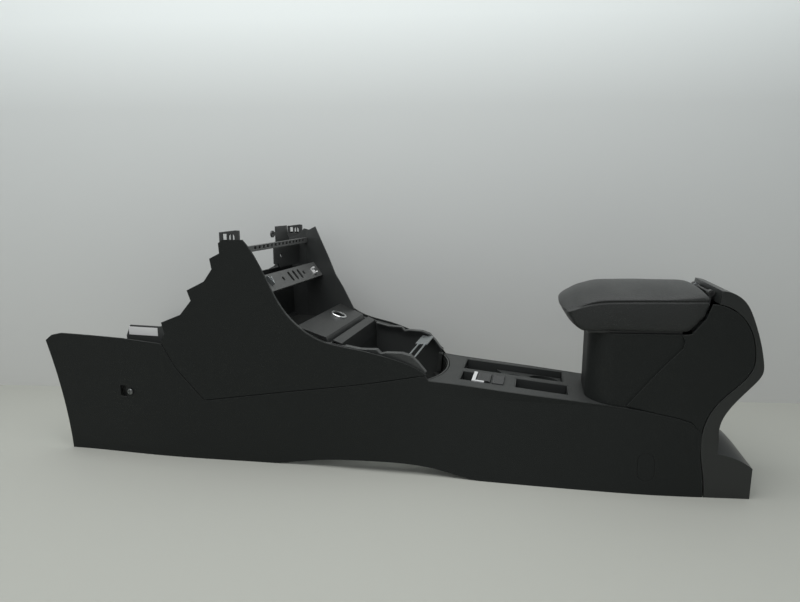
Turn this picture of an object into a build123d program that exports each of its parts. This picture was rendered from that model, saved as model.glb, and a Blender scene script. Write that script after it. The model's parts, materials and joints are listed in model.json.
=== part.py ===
"""Car center console: a tower for the dash, a selector opening, a cup-holder deck and an armrest bin.

X runs rearward from the middle of the length, Y to the car's right and Z up from the floor.
All sizes are millimetres. Left is the side at negative Y, and most pieces come as a mirrored pair.
"""
import math
import os

from build123d import *

# Moulded walls, seams and clearances
skin = 3.0
inner_wall = 1.8
lip = 2.2
lip_reach = 9.0
seam = 1.5
fit = 0.2
pivot_gap = 0.08

# Outer skin: half-widths at the floor, at the shoulder and at the crown, at stations along X
nose_reach = 145.0
heel_reach = 68.0
carrier_front_x = -457.0
seam_foot_x = 534.0
nose_x = carrier_front_x - nose_reach
heel_x = seam_foot_x + heel_reach
shoulder_z = 135.0
crown_z = 420.0
skin_stations = [
    (nose_x - 4, 163, 163, 163),
    (nose_x + 89, 155, 155, 155),
    (-408, 152, 152, 152),
    (-329, 147, 147, 147),
    (-240, 138, 138, 138),
    (-108, 126, 125.5, 124.4),
    (0, 122, 115.5, 101.8),
    (100, 116, 96, 54),
    (254, 108, 87, 87),
    (379, 100, 80.5, 80.5),
    (455, 93, 80, 80),
    (seam_foot_x, 81, 79, 79),
    (heel_x + 4, 69, 68, 68),
]

# Lower side panels
nose_z = 206.0
right_nose_drop = 45.0
belly_lift = 19.0
belly_front_x = -170.0
belly_rear_x = 189.0
slot_x = -451.0
slot_z = 118.0
slot_length = 14.0
slot_height = 21.0
cap_x = 446.0
cap_z = 44.0
cap_length = 26.0
cap_height = 46.0

# Fixing screws at the nose
screw_x = -437.0
screw_hole_r = 3.2
screw_shank_r = 2.0
screw_head_r = 5.5
screw_head_height = 2.6
boss_r = 6.0

# Tower
tower_top_z = 393.0
tower_foot = (94.0, 169.0)
tower_corner = (-294.0, 111.0)

# Carrier walls inside the tower
cheek = 2.5
cheek_rear_x = 92.0
cheek_rear_half = 87.0
cheek_stations = [(carrier_front_x, 127.0), (-208, 127.5), (-140, 115), (cheek_rear_x, cheek_rear_half)]
cheek_bottom_z = 46.0
rail_z = 209.0
rail_width = 9.0
rail_front_x = -46.0
flange_depth = 2.5
label_sheet = 0.4

# Bars and plate across the tower
upper_bar_x = -208.0
upper_bar_drop = 16.5
upper_bar_height = 10.0
upper_bar_depth = 7.0
window_count = 14
lower_bar_top = (-191.0, 329.0)
lower_bar_foot = (-171.0, 305.0)
bar_hole_r = 4.5
bar_hole_y = 46.0
bar_slot_pitch = 21.0
bar_slot_width = 10.0
bar_slot_shift = 7.0
clip_inset = 14.0
retainer_inset = 34.0
back_plate_x = -226.0
back_plate_sheet = 3.0

# Tray and power socket at the tower's foot
tray_floor_z = 214.0
panel_top = (-128.0, 244.5)
panel_foot = (-79.0, 227.0)
socket_bore_r = 10.5
socket_wall = 1.6
socket_ring_r = 15.5
socket_ring_height = 2.5
socket_length = 38.0
socket_x = -106.0
socket_y = 36.0
contact_r = 2.5

# Deck with its switches, pocket and cups, measured along its slope from its front edge
deck_x = 110.0
deck_z = 158.0
deck_drop = 4.35
deck_sheet = 3.0
deck_end_x = 413.0
insert_drop = 0.3
near_row_y = -31.0
near_row_width = 52.0
bay_start = 34.0
bay_length = 78.0
bay_depth = 26.0
empty_bay = 22.0
trim_width = 6.0
trim_toe_length = 15.0
trim_toe_width = 5.0
brake_length = 26.0
brake_pivot_depth = 9.0
rocker_gap = 1.2
pocket_start = 128.0
pocket_length = 90.0
pocket_depth = 34.0
cup_row_y = 42.0
cup_row_width = 64.0
cup_start = 32.0
cup_row_length = 180.0
cup_depth = 62.0
cup_sink = 12.0
cup_r = 29.0
cup_x = 56.4
dimple_r = 24.0
dimple_place = (2.4, -10.5)

# Ribbed wall and brace in the selector opening
wall_height = 42.0
wall_rib_count = 5
wall_rib_pitch = 7.0
brace_x = 64.0
brace_z = 194.0
brace_rod_r = 1.6

# Bin and armrest
bin_front_x = 352.0
bin_rear_x = 506.0
bin_half = 76.8
bin_corner_r = 42.0
bin_floor_z = 96.0
rim_front_z = 252.0
rim_slope = 0.038
lid_gap = 0.5
base_sheet = 3.0
base_half = 72.0
rim_play = 4.0
rim_reach = 7.0
hinge_x = 526.0
hinge_z = 318.0
pin_r = 2.5
barrel_r = 5.0
arm_width = 10.0
arm_y = 46.0
ear_sheet = 3.0
pad_front_x = 301.0
pad_rear_x = 521.0
pad_half = 79.0
pad_top_z = 330.0

# Foot of the rear cap
foot_front_x = 545.0
foot_edge_z = 49.0
foot_side_z = 66.0
foot_crown_z = 97.0

# Side-view lines of the skin's seams
tower_rear_line = [
    (-211, tower_top_z), (-166, 312), (-144, 273), (-120, 248), (-84, 226), (-22, 212), (31, 198), (66, 185),
    tower_foot,
]
tower_front_line = [
    (-343, 166), (-370, 214), (-361, 228), (-366, 248), (-329, 263), (-308, 288), (-314, 306), (-282, 322),
    (-267, 343), (-270, 361), (-252, 370), (-253, 387), (-246, tower_top_z),
]
seam_line = [
    (seam_foot_x, 0), (532, 28), (525, 69), (525, 108), (536, 142), (heel_x - 39, 176), (heel_x - 14, 212),
    (heel_x - 14, 238), (heel_x - 28, 277), (heel_x - 46, 296), (524, 307),
]
cover_foot = [(deck_end_x, 139), (446, 133), (490, 126), (508, 121)]
cap_front = [(534, 326), (531, 300)]
back_line = [
    (heel_x - 53, 96), (heel_x - 51, 128), (heel_x - 36, 155), (heel_x - 12, 184), (heel_x, 204), (heel_x - 1, 220),
    (heel_x - 10, 255), (heel_x - 22, 287), (heel_x - 36, 311), (heel_x - 51, 322), (534, 326),
]
wing_line = [
    (-225, tower_top_z - 9), (-212, tower_top_z + 7.5), (-200, tower_top_z + 5), (-185, tower_top_z + 12), (-153, 340),
    (-139, 308), (-122, 282), (-97, 236), (-126, 236), (-165, 290),
]
rail_line = [
    (-84, 221), (-19, rail_z), (8, rail_z), (15, rail_z - 7), (25, rail_z - 5), (51, rail_z - 5),
    (66, rail_z - 9), (78, rail_z - 21), (cheek_rear_x - 1, 172),
]


# Sketches and solids

def outline(points):
    """A closed face with sharp corners."""
    return Polygon(*points, align=None)


def biggest(sketch):
    return max(sketch.faces(), key=lambda f: f.area)


def single(shape):
    """The largest solid of a shape."""
    return max(shape.solids(), key=lambda s: s.volume)


def moved(points, dx, dz):
    return [(x + dx, z + dz) for x, z in points]


def across(sketch, low, high):
    """Extrude a face drawn as X and Z from one Y to another."""
    face = biggest(sketch)
    if face.normal_at().Z < 0:
        face = -face
    return extrude(Pos(0, high, 0) * Rot(90, 0, 0) * face, amount=high - low)


def facing_rear(sketch, x, thickness):
    """Extrude a face drawn as Y and Z to a plate that faces the rear."""
    return extrude(rear_plane(x) * sketch, amount=thickness, dir=(1, 0, 0))


def rear_plane(x):
    return Plane(origin=(x, 0, 0), x_dir=(0, 1, 0), z_dir=(1, 0, 0))


def shared(first, second):
    """The face that two side-view faces have in common."""
    return max(biggest(first).intersect(biggest(second)), key=lambda f: f.area)


def beside(points, distance):
    """An open line of points moved to its left by a distance, with mitred corners."""
    line = [Vector(x, z) for x, z in points]
    runs = [(b - a).normalized() for a, b in zip(line, line[1:])]
    result = []
    for point, before, after in zip(line, runs[:1] + runs, runs + runs[-1:]):
        normal = Vector(-(before.Y + after.Y), before.X + after.X).normalized()
        corner = point + normal * (distance / normal.dot(Vector(-before.Y, before.X)))
        result.append((corner.X, corner.Y))
    return result


def strip(points, thickness):
    """A face of even thickness along an open line of points."""
    return outline(beside(points, thickness / 2) + beside(points, -thickness / 2)[::-1])


def between(stations, x):
    """The value at X, straight between stations and level past the ends."""
    if x <= stations[0][0]:
        return stations[0][1]
    for (x0, first), (x1, second) in zip(stations, stations[1:]):
        if x <= x1:
            return first + (second - first) * (x - x0) / (x1 - x0)
    return stations[-1][1]


# The outer skin

def plan_curve(column, side, inset, z):
    """The outer skin's line in plan at one level, moved inward by the inset."""
    return Spline(*[(row[0], side * (row[column] - inset), z) for row in skin_stations])


def plan_face(first, second):
    """The plan face between two lines that run the length."""
    return make_face([first, Line(first @ 0, second @ 0), second, Line(first @ 1, second @ 1)])


def skin_loft(side_a, inset_a, side_b, inset_b):
    """The space between two skins, lofted straight from floor to shoulder to crown."""
    levels = ((1, 0.0), (2, shoulder_z), (3, crown_z))
    return loft(
        [plan_face(plan_curve(c, side_a, inset_a, z), plan_curve(c, side_b, inset_b, z)) for c, z in levels],
        ruled=True,
    )


def side_slab(outer, inner):
    """The left skin between two insets, over the whole length and height."""
    return skin_loft(-1, outer, -1, inner)


def core(inset):
    """All that lies inside both skins."""
    return skin_loft(-1, inset, 1, inset)


def side_piece(outer, inner, face):
    """The part of the left skin, between two insets, that a side-view face covers."""
    return side_slab(outer, inner) & across(face, -200, 0)


def skin_half(x):
    """Half-width of the outer skin at the shoulder, straight between the stations."""
    return between([(row[0], row[2]) for row in skin_stations], x)


def full_width(face):
    """A side-view face extruded past both skins."""
    return across(face, -200, 200)


# Side panels

def tower_face():
    """Side view of the tower panel: a swept rear edge and a toothed front edge."""
    rear = Spline(*tower_rear_line)
    bottom = FilletPolyline(tower_foot, tower_corner, tower_front_line[0], radius=[9])
    front = Polyline(*tower_front_line, tower_rear_line[0])
    return make_face([rear, bottom, front])


def ahead_of_seam(gap=0.0):
    """Side view of all that lies ahead of the rear cap's seam."""
    edge = Spline(*beside(seam_line, gap))
    return make_face([edge, Polyline(edge @ 1, (200, 307), (200, 0), edge @ 0)])


def lower_face(nose_drop):
    """Side view of the lower panel: bowed nose, arched belly, and a top edge under tower, deck and cover."""
    peak = nose_z - nose_drop
    belly = [(belly_rear_x, 0), (112, belly_lift * 0.74), (19, belly_lift), (-98, belly_lift * 0.58), (belly_front_x, 0)]
    nose = [(nose_x + 34, 0), (nose_x + 26, peak * 0.4), (nose_x + 17, peak * 0.65), (nose_x, peak)]
    top = [
        nose[-1], (nose_x + 12, peak + 10), (nose_x + 30, peak + 14), (-448, peak + 10), (-374, nose_z + 4), (-320, 200),
        (50, 175), (92, 167), (98, deck_height(98)), (deck_end_x, deck_height(deck_end_x)),
    ]
    rear_top = moved(cover_foot[1:], 0, -seam)
    face = make_face([
        Line((seam_line[0][0] - seam, 0), belly[0]),
        Spline(*belly, tangents=[(-1, 0.12), (-1, -0.12)]),
        Line(belly[-1], nose[0]),
        Spline(*nose),
        FilletPolyline(*top, radius=[8, 10, 60, 6, 0, 0, 0, 0]),
        Polyline(
            top[-1], *rear_top, (525 - seam, 104), (525 - seam, 69), (532 - seam, 28), (seam_line[0][0] - seam, 0),
        ),
    ])
    return biggest(face - offset(tower_face(), amount=seam))


def tongue_band():
    """Side view of the lip behind the joint between tower and lower panel."""
    return strip([(-338, 160), tower_corner, (80, tower_foot[1] - 1)], 2 * lip_reach)


def lower_panel(nose_drop=0.0):
    """A long side moulding with a slot and screw hole at the nose, a cap recess and a lip behind the tower."""
    face = lower_face(nose_drop)
    slot = Pos(slot_x, slot_z) * RectangleRounded(slot_length, slot_height, 3)
    hole = Pos(screw_x, slot_z) * Circle(screw_hole_r)
    recess = Pos(cap_x, cap_z) * SlotOverall(cap_height, cap_length, rotation=90)
    body = side_piece(0, skin, biggest(face - slot - hole - recess))
    root = side_piece(skin - 0.5, skin + lip, shared(tongue_band(), face))
    tongue = side_piece(skin + fit, skin + lip, tongue_band())
    return single(body + root + tongue)


def tower_panel():
    return single(side_piece(0, skin, tower_face()))


def screw_cap():
    """The oval cap over the rear fixing, set flush in the side panel."""
    face = Pos(cap_x, cap_z) * SlotOverall(cap_height - 2 * fit, cap_length - 2 * fit, rotation=90)
    return single(side_piece(0.1, skin, face))


def bin_cover():
    """The panel beside the bin, between deck, armrest and rear cap."""
    face = outline([
        cover_foot[0], (456, 198), (487, 236), (489, 248), (485, 256), (497, 259), (515, 283), (522, 304), (524, 320),
        (heel_x, 320), (heel_x, 96), (530, 98), *reversed(cover_foot[1:]),
    ])
    return single(side_piece(0, skin, shared(face, ahead_of_seam(seam))))


# Carrier walls inside the tower

def cheek_half(x):
    """Half-width of the carrier walls' outer faces."""
    return between(cheek_stations, x)


def cheek_sheet(face, outer, inner):
    """A part along the left carrier wall, between two distances inward from its outer face."""
    corners = [(x, outer - half) for x, half in cheek_stations] + [(x, inner - half) for x, half in cheek_stations[::-1]]
    return extrude(outline(corners), amount=crown_z) & across(face, -200, 0)


def between_cheeks(clearance):
    """The space between the carrier walls' inner faces, less a clearance."""
    line = [(x, half - cheek - clearance) for x, half in cheek_stations]
    corners = [(x, -half) for x, half in line] + line[::-1]
    return extrude(outline(corners), amount=crown_z)


def carrier(wing=False):
    """The inner wall of tower and selector: wall, flange out to the tower panel, stepped rail and screw boss.

    The right wall also has a wing, which stands behind the tower's rear edge and above its top.
    """
    inner = Spline(*moved(tower_rear_line, -3, -3))
    deep = Spline(*moved(tower_rear_line, -3 - flange_depth, -3 - flange_depth))
    wall = make_face([
        inner,
        Polyline(
            inner @ 1, (91, 150), (91, cheek_bottom_z + 40), (60, cheek_bottom_z), (-290, cheek_bottom_z),
            (-330, 100), (carrier_front_x, 100), (carrier_front_x, 215), (carrier_front_x + 9, 235), (-385, 235),
            (-352, 244), (-300, 300), (-262, 345), (-250, tower_top_z - 14), inner @ 0,
        ),
    ])
    plate = cheek_sheet(wall, 0, cheek) + cheek_sheet(outline([*rail_line, (91, 150), (-84, 200)]), 0, cheek)
    if wing:
        plate += cheek_sheet(outline(wing_line), 0, cheek)
    ribbon = make_face([inner, Line(inner @ 0, deep @ 0), deep, Line(inner @ 1, deep @ 1)])
    reach = side_slab(skin + fit, 60) - between_cheeks(0.4 - cheek)
    flange = reach & across(biggest(ribbon - offset(tongue_band(), amount=fit, kind=Kind.INTERSECTION)), -200, 0)
    open_rail = [(rail_front_x, rail_z + 5), *rail_line[1:]]
    ledge = cheek_sheet(strip(moved(open_rail, 0, -cheek / 2), cheek), cheek / 2, cheek + rail_width)
    post = across(Pos(screw_x, slot_z) * Circle(boss_r), -200, -cheek_half(screw_x) + cheek / 2) & side_slab(skin + fit, 60)
    pilot = across(Pos(screw_x, slot_z) * Circle(screw_shank_r), -200, -cheek_half(screw_x) + cheek + 1)
    return single(plate + flange + ledge + post - pilot)


def front_screw():
    """The fixing screw beside the nose slot, from the panel's outer face into the carrier's boss."""
    seat = Pos(screw_x, -skin_half(screw_x) - 2 * fit, slot_z) * Rot(90, 0, 0)
    head = seat * Pos(0, 0, screw_head_height / 2) * Cylinder(screw_head_r, screw_head_height)
    shank = seat * Pos(0, 0, -9) * Cylinder(screw_shank_r - 0.05, 18)
    cross = [
        seat * Pos(0, 0, screw_head_height) * Rot(0, 0, turn) * Box(1.3, 6.5, 2.6) for turn in (0, 90)
    ]
    return single(chamfer(head.edges().group_by(Axis.Y)[0], 1.0) + shank - cross)


def blank_label():
    """The bare white label on the left carrier wall's front wing."""
    face = outline([(-451, 217), (-451, 232), (-391, 232), (-391, 217)])
    return single(cheek_sheet(face, -0.05 - label_sheet, -0.05))


# Bars and plates across the tower

def upper_bar():
    """The toothed bar at the tower's mouth, with a row of windows."""
    half = cheek_half(upper_bar_x)
    z = tower_top_z - upper_bar_drop
    bar = Pos(upper_bar_x, 0, z) * Box(upper_bar_depth, 2 * half, upper_bar_height)
    pitch = 2 * (half - 18) / window_count
    windows = [
        Pos(upper_bar_x, spot.position.Y, z + 1) * Box(2 * upper_bar_depth, pitch * 0.5, 5)
        for spot in GridLocations(0, pitch, 1, window_count)
    ]
    return single((bar - windows) & between_cheeks(fit))


def lower_bar_place():
    """The middle of the lower bar's tilted face, with Z square to the face."""
    (top_x, top_z), (foot_x, foot_z) = lower_bar_top, lower_bar_foot
    tilt = math.degrees(math.atan2(top_z - foot_z, foot_x - top_x))
    return Pos((top_x + foot_x) / 2, 0, (top_z + foot_z) / 2) * Rot(0, tilt, 0)


def lower_bar():
    """The light cross bar under the screen: a tilted face with two holes and three slots, and folded lips."""
    (top_x, top_z), (foot_x, foot_z) = lower_bar_top, lower_bar_foot
    path = [(top_x - 9, top_z - 4), (top_x, top_z), (foot_x, foot_z), (foot_x - 9, foot_z - 5)]
    bar = across(strip(path, cheek), -cheek_half(top_x), cheek_half(top_x))
    place = lower_bar_place()
    slots = [
        place * Pos(0, bar_slot_shift + i * bar_slot_pitch, 0) * extrude(SlotOverall(22, bar_slot_width), amount=6, both=True)
        for i in (-1, 0, 1)
    ]
    holes = [place * Pos(0, y, 0) * Cylinder(bar_hole_r, 12) for y in (-bar_hole_y, bar_hole_y)]
    return single((bar - slots - holes) & between_cheeks(fit))


def bar_clip():
    """A bent spring clip of sheet steel on the left end of the lower bar."""
    y = clip_inset - cheek_half(lower_bar_foot[0])
    legs = Rot(0, 0, 90) * strip([(y, 17), (y + 5, 0), (y + 11, 13)], 1.2)
    return single(lower_bar_place() * Pos(6, 0, cheek / 2 + 0.05) * extrude(legs, amount=7, dir=(0, 0, 1)))


def retainer_clip():
    """The moulded push-in clip on the right end of the lower bar."""
    y = cheek_half(lower_bar_foot[0]) - retainer_inset
    block = Pos(0, 0, 3.5) * Box(13, 9, 7) - Pos(0, 0, 5) * Box(8, 20, 5)
    return single(lower_bar_place() * Pos(3, y, cheek / 2 + 0.05) * block)


def back_plate():
    """The plate behind the bars, from the middle to the right wall, with a post and an eyelet."""
    right = cheek_half(back_plate_x)
    low, high, top = tower_top_z - 65, tower_top_z - 21, tower_top_z + 16
    sheet = outline([
        (8, low + 9), (8, high), (19, high), (19, top), (67, top), (70, high + 17), (80, high + 7), (82, high),
        (right, high), (right, low), (30, low), (22, low + 9),
    ])
    eye = (5, tower_top_z + 2)
    plate = facing_rear(sheet, back_plate_x, back_plate_sheet)
    eyelet = facing_rear(Pos(*eye) * Circle(6.5), back_plate_x, back_plate_sheet)
    neck = facing_rear(Pos(eye[0] + 9, eye[1]) * Rectangle(12, 7), back_plate_x, back_plate_sheet)
    through = back_plate_sheet + 2
    holes = [
        facing_rear(Pos(y, z) * Circle(r), back_plate_x - 1, through) for y, z, r in ((*eye, 3), (36, tower_top_z - 41, 4))
    ]
    return single((plate + eyelet + neck - holes) & between_cheeks(fit))


def top_bracket():
    """The windowed bracket on top of the tower wall."""
    x0, x1, z0, z1 = -252, -218, tower_top_z - 22, tower_top_z + 15
    face = outline([(x0 + 3, z0), (x1, z0), (x1, z1), (x1 - 6, z1 + 0.5), (x0, z1 - 3), (x0, z1 - 19)])
    windows = [
        Pos(x0 + 9, z1 - 12) * Rectangle(8, 13), Pos(x0 + 21, z1 - 12) * SlotOverall(14, 11, rotation=90),
    ]
    rib = Pos(x0 + 21, z1 - 12) * Rectangle(2, 16)
    return single(side_piece(skin + fit, skin + fit + 4.5, face - windows + rib))


# Tray and power socket

def tray():
    """The storage tray at the tower's foot, its sloping socket panel and the step before the selector."""
    path = [
        (-243, 326), (-239, tray_floor_z + 8), (-233, tray_floor_z), (-146, tray_floor_z), (-139, tray_floor_z + 8),
        panel_top, panel_foot, (-75, 215), (-68, 215), (-65, 222), (-52, 217), (-49, 190), (-49, 120),
    ]
    sheet = across(strip(path, cheek), -140, 140)
    opening = socket_place() * Cylinder(socket_ring_r - 1.5, 30)
    return single((sheet - opening) & between_cheeks(fit))


def socket_place():
    """The socket's place on the sloping panel, with its axis square to the panel."""
    slope = (panel_top[1] - panel_foot[1]) / (panel_foot[0] - panel_top[0])
    z = panel_top[1] - (socket_x - panel_top[0]) * slope
    return Pos(socket_x, socket_y, z) * Rot(0, math.degrees(math.atan(slope)), 0)


def socket_mouth():
    """Height of the barrel's mouth above the middle of the panel's sheet."""
    return cheek / 2 + 1.0


def power_socket():
    """The socket's barrel, open at the top, with a floor that holds the centre contact."""
    outer = socket_bore_r + socket_wall
    floor = 2.0
    barrel = Pos(0, 0, socket_mouth() - (socket_length + floor) / 2) * Cylinder(outer, socket_length + floor)
    bore = Pos(0, 0, socket_mouth() - socket_length / 2) * Cylinder(socket_bore_r, socket_length)
    hole = Pos(0, 0, socket_mouth() - socket_length) * Cylinder(contact_r + 0.05, 20)
    return single(socket_place() * (barrel - bore - hole))


def socket_contact():
    """The centre contact, flush with the barrel's floor, with its stub below."""
    return single(socket_place() * Pos(0, 0, socket_mouth() - socket_length - 4) * Cylinder(contact_r, 8))


def socket_ring():
    """The bright ring round the socket's mouth, resting on the panel."""
    low = cheek / 2 + 0.05
    ring = Pos(0, 0, low + socket_ring_height / 2) * Cylinder(socket_ring_r, socket_ring_height)
    ring = chamfer(ring.edges().group_by(Axis.Z)[-1], 1)
    return single(socket_place() * (ring - Cylinder(socket_bore_r + socket_wall + 0.1, 20)))


# Deck and what hangs in it

def on_deck(x=0, y=0, z=0):
    """A place on the sloping deck, from its front edge."""
    return Pos(deck_x, 0, deck_z) * Rot(0, deck_drop, 0) * Pos(x, y, z)


def deck_height(x):
    return deck_z - (x - deck_x) * math.tan(math.radians(deck_drop))


def deck_bow(gap=0.0):
    """The deck's bowed front edge, moved forward by a gap."""
    return Spline(*[(x - gap, y) for x, y in ((-22, -96), (-3, -62), (8, 0), (-3, 62), (-22, 96))])


def bow_band(near, far):
    """The plan face between two gaps ahead of the deck's front edge."""
    first, second = deck_bow(near), deck_bow(far)
    return make_face([first, Line(first @ 0, second @ 0), second, Line(first @ 1, second @ 1)])


def deck_plate():
    """The sloping cover between the side panels, with a bowed front edge, cut for switches, pocket, cups and bin."""
    half = 120
    rear = deck_end_x - deck_x
    front = deck_bow()
    plate = extrude(make_face([front, Polyline(front @ 1, (rear, half), (rear, -half), front @ 0)]), amount=-deck_sheet)
    openings = [
        Pos(bay_start + bay_length / 2, near_row_y, 0) * Box(bay_length, near_row_width, 20),
        Pos(pocket_start + pocket_length / 2, near_row_y, 0) * Box(pocket_length, near_row_width, 20),
        Pos(cup_start + cup_row_length / 2, cup_row_y, 0) * Box(cup_row_length, cup_row_width, 20),
    ]
    return single((on_deck() * (plate - openings)) & core(skin + fit) - bin_form(-fit))


def selector_wall():
    """The ribbed curved wall ahead of the deck, with a slotted shelf at its foot and a post at its right end."""
    face_gap = seam + cheek
    wall = extrude(bow_band(seam, face_gap), amount=-wall_height)
    ribs = [
        Pos(0, 0, -6 - i * wall_rib_pitch) * extrude(bow_band(face_gap - 0.5, face_gap + 1.5), amount=-2.5)
        for i in range(wall_rib_count)
    ]
    shelf = Pos(0, 0, -wall_height) * extrude(bow_band(seam, face_gap + 14), amount=cheek)
    slots = [Pos(-8, y, -wall_height) * Box(5, 16, 20) for y in (-45, -15, 15, 45)]
    post = Pos(-20, cheek_rear_half - cheek - 6, -14) * Box(7, 12, 36)
    inside = Pos(deck_x, 0, deck_z) * Box(160, 2 * (cheek_rear_half - cheek - fit), 200)
    return single(on_deck() * (wall + ribs + shelf + post - slots) & inside)


def cross_brace():
    """The metal brace across the selector opening: two rods into a saddle plate that reaches the right wall."""
    half = cheek_half(brace_x)
    rods = [Pos(brace_x + dx, -half / 2 + 8, brace_z) * Rot(90, 0, 0) * Cylinder(brace_rod_r, half + 20) for dx in (-6, 6)]
    saddle = Pos(brace_x, half / 2 + 6, brace_z + 1) * Box(22, half - 12, 2)
    return single((rods[0] + rods[1] + saddle) & between_cheeks(rail_width + fit))


def well_plan(grow, length, width):
    """The plan of the deep wells, grown by a wall: an open bay, a dimple and a round cup, joined along the near side."""
    half = width / 2
    bay = outline([(1 - length / 2, -half), (1 - length / 2, half), (-31, half), (-16, 5), (-8, -half)])
    joined = Pos((cup_x - 10) / 2, -half + 9) * Rectangle(cup_x + 10, 18)
    rounds = Pos(*dimple_place) * Circle(dimple_r + grow) + Pos(cup_x, 0) * Circle(cup_r + grow)
    plan = offset(bay, amount=grow, kind=Kind.INTERSECTION) if grow else bay
    joined = offset(joined, amount=grow, kind=Kind.INTERSECTION) if grow else joined
    return (plan + joined + rounds) & Rectangle(length + 2 * grow, width + 2 * grow)


def cup_insert():
    """The cup tray hung in the deck: a sunken shelf whose two cusps part an open bay, a dimple and a cup."""
    length, width = cup_row_length - 2 * fit, cup_row_width - 2 * fit
    inner_length, inner_width = length - 2 * inner_wall, width - 2 * inner_wall
    box = Pos(0, 0, -(cup_sink + inner_wall) / 2) * Box(length, width, cup_sink + inner_wall)
    recess = Pos(0, 0, -cup_sink / 2 + 5) * Box(inner_length, inner_width, cup_sink + 10)
    tub = extrude(well_plan(inner_wall, inner_length, inner_width), amount=-cup_depth, dir=(0, 0, 1))
    wells = extrude(well_plan(0, inner_length, inner_width), amount=inner_wall - cup_depth, dir=(0, 0, 1))
    place = on_deck(cup_start + cup_row_length / 2, cup_row_y, -insert_drop)
    return single(place * (box + tub - recess - wells))


def open_tray(length, width, depth):
    """A small box, open at the top, with its rim at the origin's height."""
    block = Pos(0, 0, -depth / 2) * Box(length, width, depth)
    return block - Pos(0, 0, inner_wall - depth / 2) * Box(length - 2 * inner_wall, width - 2 * inner_wall, depth)


def pocket_tray():
    place = on_deck(pocket_start + pocket_length / 2, near_row_y, -insert_drop)
    return single(place * open_tray(pocket_length - 2 * fit, near_row_width - 2 * fit, pocket_depth))


def switch_rooms():
    """Front and rear ends of the empty bay, the brake switch's room and the button's room."""
    start = bay_start + empty_bay + trim_width
    brake_end = start + brake_length
    return (
        (bay_start + inner_wall + fit, start - trim_width),
        (start, brake_end),
        (brake_end + inner_wall, bay_start + bay_length - inner_wall - fit),
    )


def room_width():
    return near_row_width - 2 * inner_wall - 2 * fit


def switch_housing():
    """The frame in the bay: an empty square bay, a web, and a seat for each switch."""
    box = Pos(bay_start + bay_length / 2, 0, -bay_depth / 2) * Box(
        bay_length - 2 * fit, near_row_width - 2 * fit, bay_depth
    )
    depths = (bay_depth - inner_wall, 20, 20)
    cuts = [
        Pos((a + b) / 2, 0, -depth / 2) * Box(b - a, room_width(), depth)
        for (a, b), depth in zip(switch_rooms(), depths)
    ]
    _, brake, button = switch_rooms()
    pivot_z = insert_drop - brake_pivot_depth
    pivot = Pos(sum(brake) / 2, 0, pivot_z) * Rot(90, 0, 0) * Cylinder(pin_r, near_row_width - 2 * fit - 1)
    stem = Pos(sum(button) / 2, 0, 0) * Cylinder(button_stem_r() + 0.1, 3 * bay_depth)
    return single(on_deck(0, near_row_y, -insert_drop) * (box - cuts - pivot - stem))


def button_stem_r():
    return 3.1


def switch_trim():
    """The bright L-shaped strip ahead of the brake switch, with its toe along the near side."""
    low, strip_top = 0.05 - insert_drop, 1.8
    front = switch_rooms()[0][1]
    edge = fit - near_row_width / 2
    corners = [
        (front, edge), (front, -edge), (front + trim_width, -edge), (front + trim_width, edge + trim_toe_width),
        (front + trim_width + trim_toe_length, edge + trim_toe_width), (front + trim_width + trim_toe_length, edge),
    ]
    strip_form = extrude(outline(corners), amount=strip_top - low, dir=(0, 0, 1))
    return single(on_deck(0, near_row_y, 0) * Pos(0, 0, low) * strip_form)


def brake_switch():
    """The parking-brake rocker: a waisted cap on a cross pin."""
    start, end = switch_rooms()[1]
    half = (end - start) / 2 - rocker_gap
    far_edge = room_width() / 2 - 0.5
    near_edge = trim_toe_width + fit + 0.8 - near_row_width / 2
    side = outline([
        (-half, -3), (-half, 0.6), (-8, 2.2), (0, 1.4), (8, 2.2), (half, 0.6), (half, -3),
        (4, -6), (4, -13), (-4, -13), (-4, -6),
    ])
    cap = across(side, near_edge, far_edge)
    pin = Pos(0, 0, -brake_pivot_depth) * Rot(90, 0, 0) * Cylinder(pin_r - pivot_gap, near_row_width - 2 * fit - 1.4)
    return single(on_deck((start + end) / 2, near_row_y, 0) * (cap + pin))


def hold_button():
    """The push button behind the brake switch, with a guide stem."""
    start, end = switch_rooms()[2]
    cap = Pos(0, 0, -1.2) * Box(end - start - 1.0, room_width() - 1.0, 4.8)
    stem = Pos(0, 0, -14) * Cylinder(button_stem_r(), 22)
    return single(on_deck((start + end) / 2, near_row_y, 0) * (cap + stem))


# Bin

def rim_z(x):
    """Height of the bin's mouth, which rises a little to the rear."""
    return rim_front_z + rim_slope * (x - bin_front_x)


def bin_form(inset):
    """The bin's outer form, moved inward by the inset, with rounded front corners."""
    x0, x1 = bin_front_x + inset, bin_rear_x - inset
    plan = Pos((x0 + x1) / 2, 0) * Rectangle(x1 - x0, 2 * (bin_half - inset))
    plan = fillet(plan.vertices().sort_by(Axis.X)[:2], bin_corner_r - inset)
    return extrude(plan, amount=crown_z)


def bin_box():
    """The storage bin, with a floor and a rim that slopes with the lid."""
    hollow = Pos(0, 0, bin_floor_z + skin) * bin_form(skin)
    below = Box(4 * heel_x, 400, 2 * bin_floor_z)
    above = full_width(outline([(200, rim_z(200)), (700, rim_z(700)), (700, 700), (200, 700)]))
    return single(bin_form(0) - hollow - below - above)


# Rear cap

def cap_mass(inset):
    """The rear cap's full form without its foot, moved inward by the inset."""
    back = Spline(*beside(back_line, inset))
    top = cap_front[1][1] - inset
    front = Polyline(back @ 1, (cap_front[1][0] - inset, top), (480, top), (480, -40), ((back @ 0).X, -40), back @ 0)
    return core(inset) & full_width(make_face([back, front]))


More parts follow.
